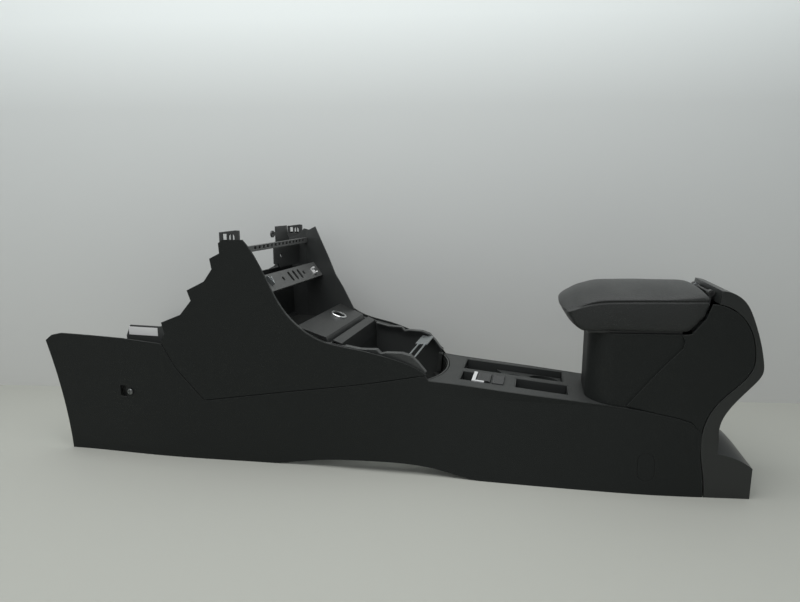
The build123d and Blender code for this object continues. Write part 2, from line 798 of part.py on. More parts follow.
def foot_form(inset):
    """The crowned foot, moved inward by the inset."""
    middle_x = (foot_front_x + heel_x) / 2
    sections = (
        (foot_front_x - 2, foot_side_z, foot_crown_z),
        (middle_x, (foot_side_z + foot_edge_z) / 2 + 2, foot_crown_z * 0.83),
        (heel_x - inset, foot_edge_z, foot_edge_z + 2),
    )
    faces = []
    for x, side_z, middle_z in sections:
        crown = Spline((90, side_z - inset), (0, middle_z - inset), (-90, side_z - inset))
        base = Polyline((-90, side_z - inset), (-90, 0), (90, 0), (90, side_z - inset))
        faces.append(rear_plane(x) * make_face([crown, base]))
    return loft(faces) & core(inset)


def rear_cap():
    """The hollow rear cap: over the bin's rear, down the back to a crowned foot, with a lip behind the covers."""
    outer = cap_mass(0) + foot_form(0)
    inner = cap_mass(skin) + foot_form(skin)
    front_wall = core(0) & full_width(outline(cap_front + beside(cap_front, skin)[::-1]))
    shell = outer - inner + front_wall - full_width(ahead_of_seam())
    band = strip(seam_line[1:-1], 2 * lip_reach)
    tongue = side_piece(skin + fit, skin + lip, band)
    root = side_piece(skin - 0.5, skin + lip, biggest(band - ahead_of_seam()))
    lip_left = tongue + root
    return single(shell + lip_left + mirror(lip_left, about=Plane.XZ))


# Armrest and its hinge

def lid_z(x):
    """Height of the lid's underside."""
    return rim_z(x) + lid_gap


def armrest_pad():
    """The padded top of the lid, a plain closed form of the true size."""
    seat = lid_z(0) + base_sheet + fit
    side = outline([
        (pad_front_x, 300), (309, 312), (327, 322), (370, 328), (430, pad_top_z), (500, pad_top_z), (511, 327),
        (518, 319), (pad_rear_x, 308), (513, 285), (494, seat + 494 * rim_slope), (337, seat + 337 * rim_slope),
        (322, 264), (309, 283),
    ])
    pad = across(side, -pad_half, pad_half)
    rounded = pad.edges().filter_by(lambda e: abs(e.center().Y) > pad_half - 0.1 and e.center().Z > 311)
    return single(fillet(rounded, 8))


def lid_plate(x0, x1, low, high, half):
    """A plate that follows the lid's slope, between two heights over its underside."""
    corners = [(x0, lid_z(x0) + low), (x1, lid_z(x1) + low), (x1, lid_z(x1) + high), (x0, lid_z(x0) + high)]
    return across(outline(corners), -half, half)


def hinge_place(y=0.0):
    return Pos(hinge_x, y, hinge_z) * Rot(90, 0, 0)


def armrest_base():
    """The hard underside of the lid: a plate with a locating rim, and two curved arms to the hinge barrels."""
    front, rear, bend = bin_front_x - 4, 486, 499
    plate = lid_plate(front, rear, 0, base_sheet, base_half)
    ring = bin_form(skin + rim_play) - bin_form(skin + rim_play + cheek)
    rim = lid_plate(front, rear, -rim_reach, 1, base_half) & ring
    arm_line = [(x, lid_z(x) + base_sheet / 2) for x in (rear - 2, bend)] + [(518.5, 286), (hinge_x, hinge_z)]
    arms = [across(strip(arm_line, base_sheet), y - arm_width / 2, y + arm_width / 2) for y in (-arm_y, arm_y)]
    barrels = [hinge_place(y) * Cylinder(barrel_r, arm_width) for y in (-arm_y, arm_y)]
    bore = hinge_place() * Cylinder(pin_r + pivot_gap, 200)
    return single(plate + rim + arms + barrels - bore)


def hinge_pin():
    return single(hinge_place() * Cylinder(pin_r, 2 * (arm_y + arm_width / 2 + 1)))


def hinge_bracket():
    """The bracket on the bin's rear wall, with an ear inside each arm."""
    ear_y = arm_y - arm_width / 2 - 0.5
    seat_x = bin_rear_x + fit / 2
    back = Pos(seat_x + ear_sheet / 2, 0, 225) * Box(ear_sheet, 2 * ear_y, 70)
    ear_side = outline([
        (seat_x, 230), (seat_x + 12, 230), (hinge_x + 2, 290), (hinge_x + 4, hinge_z + 2), (hinge_x, hinge_z + 4.5),
        (hinge_x - 4, hinge_z + 2), (hinge_x - 4.5, 296), (seat_x + ear_sheet, 262), (seat_x, 259),
    ])
    ears = [across(ear_side, low, low + ear_sheet) for low in (-ear_y, ear_y - ear_sheet)]
    bore = hinge_place() * Cylinder(pin_r + 0.02, 200)
    return single(back + ears - bore)


# Writing the pieces

def write(name, shape):
    export_step(shape, f"parts/{name}.step")


def write_pair(name, left, right=None):
    """Write a left piece and its mirror image, or the mirror image of a right piece that differs."""
    write(f"{name}_left", left)
    write(f"{name}_right", mirror(right or left, about=Plane.XZ))


os.makedirs("parts", exist_ok=True)
write_pair("lower_panel", lower_panel(), lower_panel(right_nose_drop))
write_pair("carrier", carrier(), carrier(wing=True))
for pair in (tower_panel, top_bracket, screw_cap, front_screw, bin_cover):
    write_pair(pair.__name__, pair())
for piece in (
    blank_label, upper_bar, lower_bar, bar_clip, retainer_clip, back_plate,
    tray, power_socket, socket_contact, socket_ring, selector_wall, cross_brace,
    deck_plate, cup_insert, pocket_tray, switch_housing, switch_trim, brake_switch, hold_button,
    bin_box, rear_cap, hinge_bracket, hinge_pin, armrest_base, armrest_pad,
):
    write(piece.__name__, piece())
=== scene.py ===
# %% [markdown]
# # A car's center console
# The console comes in as a finished CAD model: side mouldings, an open tower for the dash, a deck with switches
# and cup wells, and a bin with a padded lid. Blender gives each piece the finish of the real one, makes the soft
# armrest, and sets the light and the camera.

# %% Load the model
import json
import math

import bmesh
import bpy
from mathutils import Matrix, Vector, noise
from mathutils.bvhtree import BVHTree


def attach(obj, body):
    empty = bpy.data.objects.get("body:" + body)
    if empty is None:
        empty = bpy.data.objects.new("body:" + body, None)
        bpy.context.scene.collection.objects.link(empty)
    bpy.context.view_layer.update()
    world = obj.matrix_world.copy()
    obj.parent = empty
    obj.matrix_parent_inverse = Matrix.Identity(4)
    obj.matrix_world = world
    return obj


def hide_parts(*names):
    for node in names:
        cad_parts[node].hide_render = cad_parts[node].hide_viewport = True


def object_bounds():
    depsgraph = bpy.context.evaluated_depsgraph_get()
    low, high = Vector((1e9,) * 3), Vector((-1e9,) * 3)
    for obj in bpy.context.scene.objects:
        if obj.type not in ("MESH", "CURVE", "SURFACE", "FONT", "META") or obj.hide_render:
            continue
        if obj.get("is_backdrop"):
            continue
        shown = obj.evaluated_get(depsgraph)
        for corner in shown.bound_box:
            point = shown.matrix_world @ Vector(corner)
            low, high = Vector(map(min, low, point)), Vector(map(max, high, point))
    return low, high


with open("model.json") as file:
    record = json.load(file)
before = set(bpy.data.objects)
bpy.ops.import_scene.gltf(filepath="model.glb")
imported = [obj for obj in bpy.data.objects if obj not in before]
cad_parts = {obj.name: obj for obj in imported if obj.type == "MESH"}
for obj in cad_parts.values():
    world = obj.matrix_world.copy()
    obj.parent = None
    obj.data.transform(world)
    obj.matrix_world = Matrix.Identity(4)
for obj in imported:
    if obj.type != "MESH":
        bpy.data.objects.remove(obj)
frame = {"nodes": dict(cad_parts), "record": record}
cad_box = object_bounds()
scene = bpy.context.scene
scene.view_settings.view_transform = "Standard"


def add_object(name, data):
    """A new object in the scene, made from a mesh, a lamp or a camera."""
    obj = bpy.data.objects.new(name, data)
    scene.collection.objects.link(obj)
    return obj


# %% [markdown]
# ## The camera
# The photograph was taken from beside the console's rear half, a little above the armrest, with a wide lens. The
# eye's place and its two angles were worked out from edges whose real places are known. A lens is written as a
# focal length on a 36 mm sensor, so a focal length in pixels is scaled by the sensor's width over the picture's.

# %% Camera at the photograph's viewpoint
PICTURE_WIDTH = 800
FOCAL_PIXELS = 565.0
EYE = Vector((0.267, -0.987, 0.455))
TURN = math.radians(13.7)
DOWNWARD = math.radians(9.94)

camera_data = bpy.data.cameras.new("camera")
camera_data.sensor_width = 36.0
camera_data.lens = camera_data.sensor_width * FOCAL_PIXELS / PICTURE_WIDTH
camera = add_object("camera", camera_data)
camera.location = EYE
camera.rotation_euler = (math.pi / 2 - DOWNWARD, 0, TURN)
scene.camera = camera
print("lens", round(camera_data.lens, 1), "mm")

# %% [markdown]
# ## Small helpers for materials
# Every finish here is procedural: textures are worked out from each piece's own coordinates, so nothing has to be
# unwrapped. A material is a tree of nodes, and a few short helpers keep that tree readable: they start a material
# or a shared group, place nodes and groups with their values, and wire the nodes up from rows of names.

# %% Helpers for node trees
COLOUR_A, COLOUR_B, MIXED_COLOUR = 6, 7, 2  # a Mix node's sockets for colours, whose names aren't unique


def start_material(name):
    """A new material, with its node tree and its shader."""
    material = bpy.data.materials.new(name)
    material.use_nodes = True
    return material, material.node_tree, material.node_tree.nodes["Principled BSDF"]


def start_group(name, inputs, outputs):
    """A shared group; inputs gives each number's default, and outputs the kind of each socket."""
    group = bpy.data.node_groups.new(name, "ShaderNodeTree")
    for label, value in inputs.items():
        group.interface.new_socket(label, in_out="INPUT", socket_type="NodeSocketFloat").default_value = value
    for label, kind in outputs.items():
        group.interface.new_socket(label, in_out="OUTPUT", socket_type="NodeSocket" + kind)
    return group, group.nodes.new("NodeGroupInput"), group.nodes.new("NodeGroupOutput")


def place_group(tree, group, **values):
    """The group as one node of a material, with values for its inputs."""
    node = tree.nodes.new("ShaderNodeGroup")
    node.node_tree = group
    for label, value in values.items():
        node.inputs[label].default_value = value
    return node


def add_node(tree, kind, **settings):
    """A node with its settings; a name that is an input's, with _ for a space, sets that input."""
    node = tree.nodes.new("ShaderNode" + kind)
    for label, value in settings.items():
        socket = node.inputs.get(label.replace("_", " "))
        if socket is not None:
            socket.default_value = value
        else:
            setattr(node, label, value)
    return node


def add_colour_mix(tree, first=None, second=None):
    """A Mix node that goes from the first colour to the second; a colour that is left out comes from a link."""
    node = add_node(tree, "Mix", data_type="RGBA")
    for socket, colour in ((COLOUR_A, first), (COLOUR_B, second)):
        if colour is not None:
            node.inputs[socket].default_value = (*colour, 1.0)
    return node


def wire(tree, *rows):
    """Link sockets by rows of a node, its output, the next node and its input."""
    for source, output, target, entrance in rows:
        tree.links.new(source.outputs[output], target.inputs[entrance])


print("helpers ready")

# %% [markdown]
# ## Soft edges
# A moulded edge is never sharp: it has a radius of half a millimetre or so, and that radius is what catches the
# light. Bevelling every CAD edge would make heavy meshes, so the Bevel node bends the shading normal near edges
# instead. Where that normal leaves the true one there is an edge, so the same node also gives an edge mask, where
# the plastics paint a lighter edge that is part rubbing and part painted highlight. Narrow grooves get painted
# shade: Ambient Occlusion finds them, and the plastics darken their colour there.

# %% Shared group: soft edge, edge mask and a groove mask for painted shade
soft_edge, entry, result = start_group(
    "Soft edge", {"Radius": 0.0006}, {"Normal": "Vector", "Edge": "Float", "Groove shade": "Float"}
)
rounding = add_node(soft_edge, "Bevel", samples=6)
true_normal = add_node(soft_edge, "NewGeometry")
likeness = add_node(soft_edge, "VectorMath", operation="DOT_PRODUCT")
edge_mask = add_node(soft_edge, "MapRange", From_Min=0.995, From_Max=0.80, To_Min=0.0, To_Max=1.0)
wire(
    soft_edge,
    (entry, "Radius", rounding, "Radius"),
    (rounding, "Normal", likeness, 0),
    (true_normal, "Normal", likeness, 1),
    (likeness, "Value", edge_mask, "Value"),
    (rounding, "Normal", result, "Normal"),
)
# Ambient Occlusion finds narrow grooves, and the plastics paint them near black there, as painted shade.
shelter = add_node(soft_edge, "AmbientOcclusion", samples=6, only_local=True, Distance=0.0025)
groove_shade_mask = add_node(soft_edge, "MapRange", From_Min=0.95, From_Max=0.55, To_Min=0.0, To_Max=1.0)
exposed = add_node(soft_edge, "Math", operation="SUBTRACT", use_clamp=True)
wire(
    soft_edge,
    (shelter, "AO", groove_shade_mask, "Value"),
    (edge_mask, "Result", exposed, 0),
    (groove_shade_mask, "Result", exposed, 1),
    (exposed, "Value", result, "Edge"),
    (groove_shade_mask, "Result", result, "Groove shade"),
)
print("group", soft_edge.name)

# %% [markdown]
# ## Moulded grain
# Interior plastics are grained in the mould: small rounded pebbles with fine valleys between them. Smooth Voronoi
# cells give the pebbles, and a coarser noise shifts the cells so that no rows show. The group gives a height for a
# Bump node, and each material chooses how many cells go to a metre.

# %% Shared group: moulded grain
moulded_grain, entry, result = start_group("Moulded grain", {"Cells": 900.0}, {"Height": "Float"})
place = add_node(moulded_grain, "TexCoord")
wander = add_node(moulded_grain, "TexNoise", Scale=180.0, Detail=2.0)
shift = add_node(moulded_grain, "VectorMath", operation="MULTIPLY_ADD")
shift.inputs[1].default_value = (0.0012, 0.0012, 0.0012)
pebbles = add_node(moulded_grain, "TexVoronoi", feature="SMOOTH_F1", Smoothness=0.35, Randomness=1.0)
valleys = add_node(moulded_grain, "MapRange", From_Min=0.05, From_Max=0.75, To_Min=1.0, To_Max=0.0)
wire(
    moulded_grain,
    (place, "Object", wander, "Vector"),
    (wander, "Color", shift, 0),
    (place, "Object", shift, 2),
    (shift, "Vector", pebbles, "Vector"),
    (entry, "Cells", pebbles, "Scale"),
    (pebbles, "Distance", valleys, "Value"),
    (valleys, "Result", result, "Height"),
)
print("group", moulded_grain.name)

# %% [markdown]
# ## Dust and handling
# A trim part that has lain on a shelf has a little dust on what faces up, and slightly uneven gloss where hands
# have wiped it. The dust mask reads the surface's own normal, so it stays with the lid when the lid opens. Fine
# scuffs come from a noise that is stretched along the length.

# %% Shared group: dust, uneven gloss and scuffs
handling, entry, result = start_group(
    "Dust and handling", {"Dust": 1.0}, {"Dust": "Float", "Gloss": "Float", "Scuffs": "Float"}
)
place = add_node(handling, "TexCoord")
up = add_node(handling, "SeparateXYZ")
upward = add_node(handling, "MapRange", From_Min=0.35, From_Max=1.0, To_Min=0.0, To_Max=1.0)
clouds = add_node(handling, "TexNoise", Scale=14.0, Detail=6.0, Roughness=0.6)
patches = add_node(handling, "MapRange", From_Min=0.35, From_Max=0.75, To_Min=0.25, To_Max=1.0)
settled = add_node(handling, "Math", operation="MULTIPLY")
amount = add_node(handling, "Math", operation="MULTIPLY")
wiped = add_node(handling, "TexNoise", Scale=6.0, Detail=3.0)
stretch = add_node(handling, "Mapping", Scale=(6.0, 60.0, 90.0))
scratch = add_node(handling, "TexNoise", Scale=2.5, Detail=8.0, Roughness=0.75)
few = add_node(handling, "MapRange", From_Min=0.60, From_Max=0.78, To_Min=0.0, To_Max=1.0)
wire(
    handling,
    (place, "Normal", up, "Vector"),
    (up, "Z", upward, "Value"),
    (place, "Object", clouds, "Vector"),
    (clouds, "Fac", patches, "Value"),
    (upward, "Result", settled, 0),
    (patches, "Result", settled, 1),
    (settled, "Value", amount, 0),
    (entry, "Dust", amount, 1),
    (place, "Object", wiped, "Vector"),
    (place, "Object", stretch, "Vector"),
    (stretch, "Vector", scratch, "Vector"),
    (scratch, "Fac", few, "Value"),
    (amount, "Value", result, "Dust"),
    (wiped, "Fac", result, "Gloss"),
    (few, "Result", result, "Scuffs"),
)
print("group", handling.name)

# %% [markdown]
# ## Plastics
# All of the console's plastics are one recipe with different values: a dark resin, pale dust on what faces up, a
# slightly lighter edge that is part rubbing and part painted highlight, painted shade in narrow grooves, gloss that
# varies a little, and grain as bump over the soft edge. The side mouldings are the darkest, with a coarse grain,
# the deck is a greyer and finer one, and the inner walls are left smooth.

# %% One recipe for every plastic
DUST_TONE = (0.32, 0.31, 0.29)
# Near black for narrow grooves: painted shade.
GROOVE_SHADE_TONE = (0.002, 0.002, 0.002)
# The edge's colour, lifted and scaled from the resin's: a lighter edge is part rubbing and part painted highlight,
# and a gain below one darkens the edge as painted shade.
PAINTED_EDGE_LIFT = 0.004
GLOSS_SPREAD = 0.05
SCUFF_ROUGHNESS = 0.08


def plastic(
    name, tone, roughness, cells, grain,
    edge=0.0010, dust=0.06, painted_edge_share=0.5, painted_edge_gain=2.2, coat=0.0, gleam=0.5,
):
    """A moulded plastic with this many grain cells to a metre; grain and edge are metres of height and radius."""
    material, tree, surface = start_material(name)
    painted_edge_tone = [min(1.0, (part + PAINTED_EDGE_LIFT) * painted_edge_gain) for part in tone]
    rounded = place_group(tree, soft_edge, Radius=edge)
    pebble = place_group(tree, moulded_grain, Cells=cells)
    marks = place_group(tree, handling, Dust=dust)
    dusty = add_colour_mix(tree, tone, DUST_TONE)
    # A lighter edge: part rubbing, part painted highlight; darker where the gain is below one, as painted shade.
    worn = add_colour_mix(tree, second=painted_edge_tone)
    edge_wear_and_light = add_node(tree, "Math", operation="MULTIPLY")
    edge_wear_and_light.inputs[1].default_value = painted_edge_share
    # Narrow grooves go near black: painted shade.
    shaded = add_colour_mix(tree, second=GROOVE_SHADE_TONE)
    gloss = add_node(tree, "MapRange", From_Min=0.3, From_Max=0.7)
    gloss.inputs["To Min"].default_value = roughness - GLOSS_SPREAD
    gloss.inputs["To Max"].default_value = roughness + GLOSS_SPREAD
    scuffed = add_node(tree, "Math", operation="MULTIPLY_ADD")
    scuffed.inputs[1].default_value = SCUFF_ROUGHNESS
    relief = add_node(tree, "Bump", Strength=1.0, Distance=grain)
    wire(
        tree,
        (marks, "Dust", dusty, "Factor"),
        (rounded, "Edge", edge_wear_and_light, 0),
        (edge_wear_and_light, "Value", worn, "Factor"),
        (dusty, MIXED_COLOUR, worn, COLOUR_A),
        (rounded, "Groove shade", shaded, "Factor"),
        (worn, MIXED_COLOUR, shaded, COLOUR_A),
        (shaded, MIXED_COLOUR, surface, "Base Color"),
        (marks, "Gloss", gloss, "Value"),
        (marks, "Scuffs", scuffed, 0),
        (gloss, "Result", scuffed, 2),
        (scuffed, "Value", surface, "Roughness"),
        (pebble, "Height", relief, "Height"),
        (rounded, "Normal", relief, "Normal"),
        (relief, "Normal", surface, "Normal"),
    )
    surface.inputs["Coat Weight"].default_value = coat
    surface.inputs["Specular IOR Level"].default_value = gleam
    return material


SIDE_TONE = (0.0145, 0.0165, 0.0155)

finishes = {
    "grained_plastic": plastic(
        "side moulding", SIDE_TONE, 0.55, 800.0, 0.00020, dust=0.07, painted_edge_share=1.0, gleam=0.18
    ),
    "black_plastic": plastic(
        "inner moulding", (0.028, 0.030, 0.029), 0.36, 1500.0, 0.00004, painted_edge_share=1.0, gleam=0.6
    ),
    "deck_plastic": plastic("deck moulding", (0.030, 0.033, 0.032), 0.50, 1100.0, 0.00016, gleam=0.35),
    "light_grey_plastic": plastic("bar moulding", (0.080, 0.083, 0.081), 0.42, 1500.0, 0.00003, dust=0.12),
    "switch_plastic": plastic(
        "switch cap", (0.014, 0.015, 0.016), 0.28, 2500.0, 0.00002, edge=0.0009, dust=0.02, coat=0.15
    ),
    "white_plastic": plastic(
        "white label and clip", (0.80, 0.81, 0.80), 0.5, 1500.0, 0.00002, dust=0.1, painted_edge_share=0.0
    ),
}
smooth_side = plastic("smooth side moulding", (0.018, 0.020, 0.019), 0.30, 1200.0, 0.00005)
# A lighter copy of the inner moulding for the carriers: painted light on their walls.
carrier_painted_light = plastic("inner moulding with painted light", (0.040, 0.043, 0.042), 0.36, 1500.0, 0.00004, painted_edge_share=1.0)
# A darker copy of the inner moulding for the tray: painted shade.
tray_painted_shade = plastic(
    "inner moulding with painted shade", (0.018, 0.0195, 0.019), 0.34, 1500.0, 0.00004, dust=0.04, painted_edge_share=1.0
)
# The plugs' edges are darkened to near black: painted shade of the gap round each plug.
plug_painted_gap_shade = plastic(
    "side moulding with painted gap shade", SIDE_TONE, 0.55, 800.0, 0.00020,
    edge=0.0016, dust=0.07, painted_edge_share=1.0, painted_edge_gain=0.1, gleam=0.18,
)
print("plastics", sorted(finishes))

# %% [markdown]
# ## Metals
# The brace and the steel clip are zinc plated: bright steel with a cool cast and a cloudy, patchy gloss. The nose
# screws have lost most of that plating. The strip beside the switch is satin paint over plating, the socket's ring
# is chrome, its centre contact is brass, and the lid's hidden pin is dark steel. A metal's colour is its
# reflection, so the recipes differ in tint, roughness and in how the gloss varies.

# %% One recipe for every metal
CLOUD_DARKNESS = 0.82
METAL_EDGE = 0.0004


def metal(name, tint, roughness, spread, stretch=(1.0, 1.0, 1.0), grain=0.0, metallic=1.0):
    """A metal with a cloudy gloss that varies by spread; grain is the height of its clouds in metres."""
    material, tree, surface = start_material(name)
    place = add_node(tree, "TexCoord")
    lengthen = add_node(tree, "Mapping", Scale=stretch)
    cloudy = add_node(tree, "TexNoise", Scale=160.0, Detail=5.0, Roughness=0.65)
    rough = add_node(tree, "MapRange", From_Min=0.3, From_Max=0.7)
    rough.inputs["To Min"].default_value = roughness - spread
    rough.inputs["To Max"].default_value = roughness + spread
    tinted = add_colour_mix(tree, tint, [part * CLOUD_DARKNESS for part in tint])
    rounded = place_group(tree, soft_edge, Radius=METAL_EDGE)
    relief = add_node(tree, "Bump", Strength=1.0, Distance=grain)
    wire(
        tree,
        (place, "Object", lengthen, "Vector"),
        (lengthen, "Vector", cloudy, "Vector"),
        (cloudy, "Fac", rough, "Value"),
        (cloudy, "Fac", tinted, "Factor"),
        (tinted, MIXED_COLOUR, surface, "Base Color"),
        (rough, "Result", surface, "Roughness"),
        (cloudy, "Fac", relief, "Height"),
        (rounded, "Normal", relief, "Normal"),
        (relief, "Normal", surface, "Normal"),
    )
    surface.inputs["Metallic"].default_value = metallic
    return material


finishes["zinc_steel"] = metal("zinc plate", (0.50, 0.53, 0.54), 0.34, 0.10, grain=0.00002)
finishes["satin_metal"] = metal(
    "satin strip", (0.93, 0.94, 0.94), 0.34, 0.06, stretch=(6.0, 0.3, 6.0), grain=0.00001, metallic=0.4
)
finishes["chrome"] = metal("chrome", (0.95, 0.96, 0.96), 0.30, 0.04)
finishes["brass"] = metal("brass", (0.72, 0.52, 0.24), 0.26, 0.06)
dark_steel = metal("dark steel", (0.07, 0.07, 0.07), 0.40, 0.08)
screw_steel = metal("worn screw", (0.22, 0.23, 0.23), 0.30, 0.10, grain=0.00002)
print("metals", [name for name in finishes if "plastic" not in name])

# %% [markdown]
# ## Leatherette
# The armrest is covered in a grained vinyl. Its grain is larger and rounder than the moulded one, with creases
# between the cells, and its gloss is softer. A little sheen is set on the shader itself, for the pale bloom that
# shows where the light grazes the top.

# %% Leatherette for the armrest
PEBBLE_SHARE = -0.6  # the cells' distance falls towards their middles, so the pebbles stand up

leatherette, tree, surface = start_material("leatherette")
place = add_node(tree, "TexCoord")
cells = add_node(tree, "TexVoronoi", feature="SMOOTH_F1", Scale=520.0, Smoothness=0.5)
creases = add_node(tree, "TexVoronoi", feature="DISTANCE_TO_EDGE", Scale=260.0)
crease_width = add_node(tree, "MapRange", From_Min=0.0, From_Max=0.12, To_Min=0.0, To_Max=1.0)
height = add_node(tree, "Math", operation="MULTIPLY_ADD")
height.inputs[1].default_value = PEBBLE_SHARE
relief = add_node(tree, "Bump", Strength=1.0, Distance=0.00018)
marks = place_group(tree, handling, Dust=0.10)
tone = add_colour_mix(tree, (0.025, 0.027, 0.026), (0.28, 0.28, 0.27))
gloss = add_node(tree, "MapRange", From_Min=0.3, From_Max=0.7, To_Min=0.40, To_Max=0.52)
wire(
    tree,
    (place, "Object", cells, "Vector"),
    (place, "Object", creases, "Vector"),
    (creases, "Distance", crease_width, "Value"),
    (cells, "Distance", height, 0),
    (crease_width, "Result", height, 2),
    (height, "Value", relief, "Height"),
    (relief, "Normal", surface, "Normal"),
    (marks, "Dust", tone, "Factor"),
    (tone, MIXED_COLOUR, surface, "Base Color"),
    (marks, "Gloss", gloss, "Value"),
    (gloss, "Result", surface, "Roughness"),
)
surface.inputs["Specular IOR Level"].default_value = 0.3
surface.inputs["Sheen Weight"].default_value = 0.06
surface.inputs["Sheen Roughness"].default_value = 0.4
finishes["armrest_leather"] = leatherette
print("material", leatherette.name)

# %% [markdown]
# ## Dressing the CAD pieces
# The record says which finish each piece has. A CAD piece keeps its mesh and only gets a material in its slots, so
# the shape that is seen is the CAD shape. Some pieces are the same stuff from a smoother mould or with
# another plating, so they have a finish of their own.
# The carriers and the tray get a lighter and a darker copy of the inner moulding, as painted light and painted
# shade, and the plugs get painted shade round their edges.

# %% Give every piece its finish
own_finishes = {
    "rear_cap": smooth_side,
    "bin_box": finishes["grained_plastic"],
    # The carriers and the tray: a lighter and a darker copy of the inner moulding, painted light and painted shade.
    "carrier_left": carrier_painted_light,
    "carrier_right": carrier_painted_light,
    "tray": tray_painted_shade,
    "upper_bar": finishes["light_grey_plastic"],
    "hinge_pin": dark_steel,
    "front_screw_left": screw_steel,
    "front_screw_right": screw_steel,
    # The plugs: painted shade round their edges.
    "screw_cap_left": plug_painted_gap_shade,
    "screw_cap_right": plug_painted_gap_shade,
}
for row in frame["record"]["subparts"]:
    mesh = frame["nodes"][row["node"]].data
    if not mesh.materials:
        mesh.materials.append(None)
    for index in range(len(mesh.materials)):
        mesh.materials[index] = finishes[row["material_slot"]]
for node, finish in own_finishes.items():
    frame["nodes"][node].data.materials[0] = finish

# %% [markdown]
# ## The armrest
# The armrest is foam on a board, under a sewn cover of two panels: the top one wraps over the edges and meets the
# side band in a seam. The copy of the plain CAD solid is remeshed into even quads, because cloth needs them. Its
# flat top is lowered towards both sides and its nose is rounded in plan, as foam under a stretched cover is.

# %% Copy the plain pad as even quads and crown it across
# Lengths and places are metres. Drops and dips are shares of the height above the seam.
WELD = 1e-5
PAD_VOXEL = 0.0045
PAD_HALF = 0.079
SIDE_CURVE = 2.5
SIDE_DROP = 0.72
REAR_SIDE_DROP = 0.50
REAR_START_X = 0.46
REAR_LENGTH = 0.05
TOP_DIP = 0.10
NOSE_DIP = 0.20
NOSE_X = 0.301
NOSE_LENGTH = 0.060
NOSE_SETBACK = 0.013
NOSE_LEAN = 0.30
NOSE_FOOT_Z = 0.286
SOFT_CORNERS = 3
FILL_OUT = 0.0010
SEAM_LINE = [(0.296, 0.282), (0.310, 0.284), (0.330, 0.293), (0.364, 0.302), (0.422, 0.305), (0.521, 0.309)]
SEAM_ROUNDING = (-0.014, -0.007, 0.0, 0.007, 0.014)

plain = frame["nodes"]["armrest_pad"]
shape = bmesh.new()
shape.from_mesh(plain.data)
bmesh.ops.remove_doubles(shape, verts=shape.verts, dist=WELD)
outer_form = BVHTree.FromBMesh(shape)
pad_mesh = bpy.data.meshes.new("armrest_cushion")
shape.to_mesh(pad_mesh)
shape.free()
pad = add_object("armrest_cushion", pad_mesh)
remesh = pad.modifiers.new("even quads", "REMESH")
remesh.mode = "VOXEL"
remesh.voxel_size = PAD_VOXEL


def settle(obj):
    """Turn what the modifiers make into the object's own mesh."""
    evaluated = obj.evaluated_get(bpy.context.evaluated_depsgraph_get())
    made = bpy.data.meshes.new_from_object(evaluated)
    obj.modifiers.clear()
    obj.data = made


def broken_line(x):
    """The height of the line through the seam's corners."""
    for (x0, z0), (x1, z1) in zip(SEAM_LINE, SEAM_LINE[1:]):
        if x <= x1:
            return z0 + (z1 - z0) * max(0.0, x - x0) / (x1 - x0)
    return SEAM_LINE[-1][1]


def seam_height(x):
    """The seam's height at x: an average over a short stretch rounds the corners of the line."""
    return sum(broken_line(x + shift) for shift in SEAM_ROUNDING) / len(SEAM_ROUNDING)


settle(pad)
for vertex in pad.data.vertices:
    across = min(1.0, abs(vertex.co.y) / PAD_HALF) ** SIDE_CURVE
    over = vertex.co.z - seam_height(vertex.co.x)
    rearward = min(1.0, max(0.0, (vertex.co.x - REAR_START_X) / REAR_LENGTH))
    forward = max(0.0, 1.0 - (vertex.co.x - NOSE_X) / NOSE_LENGTH)
    if over > 0:
        vertex.co.z -= over * (TOP_DIP + NOSE_DIP * forward)
        vertex.co.z -= over * across * (SIDE_DROP + (REAR_SIDE_DROP - SIDE_DROP) * rearward)
    vertex.co.x += (NOSE_SETBACK * across + NOSE_LEAN * max(0.0, vertex.co.z - NOSE_FOOT_Z)) * forward
soften = pad.modifiers.new("soft corners", "SMOOTH")
soften.iterations = SOFT_CORNERS
fill_out = pad.modifiers.new("fill out", "DISPLACE")
fill_out.strength = FILL_OUT
fill_out.mid_level = 0.0
settle(pad)
print("pad of", len(pad.data.polygons), "quads")

# %% [markdown]
# ## Blowing it up
# Cloth with a pressure inside and no gravity tightens the cover for twenty frames. The seam, the underside and the
# rear end are pinned, as thread and board hold them on the real one, so each panel swells between its own edges.
# No point may leave the CAD solid by more than two millimetres, so the true size holds.

# %% Swell the pad as cloth and hold it to its size
SWELL_FRAMES = 20
CROWN = 0.0020
SEAM_HOLD = 0.0030
REAR_HOLD_X = 0.506
BOARD_CLEARANCE = 0.0002
UPRIGHT = 0.85
UNDERSIDE = -0.6
BOARD_SIDE = -0.5

pins = pad.vertex_groups.new(name="thread and board")
for vertex in pad.data.vertices:
    at_seam = abs(vertex.co.z - seam_height(vertex.co.x)) < SEAM_HOLD and abs(vertex.normal.z) < UPRIGHT
    if at_seam or vertex.normal.z < UNDERSIDE or vertex.co.x > REAR_HOLD_X:
        pins.add([vertex.index], 1.0, "REPLACE")

cloth = pad.modifiers.new("swelling", "CLOTH")
cloth.settings.quality = 6
cloth.settings.mass = 0.3
cloth.settings.tension_stiffness = 40
cloth.settings.compression_stiffness = 40
cloth.settings.bending_stiffness = 12
cloth.settings.use_pressure = True
cloth.settings.uniform_pressure_force = 4
cloth.settings.effector_weights.gravity = 0
cloth.settings.vertex_group_mass = pins.name
cloth.point_cache.frame_start = 1
cloth.point_cache.frame_end = SWELL_FRAMES
for number in range(1, SWELL_FRAMES + 1):
    scene.frame_set(number)
settle(pad)
scene.frame_set(1)

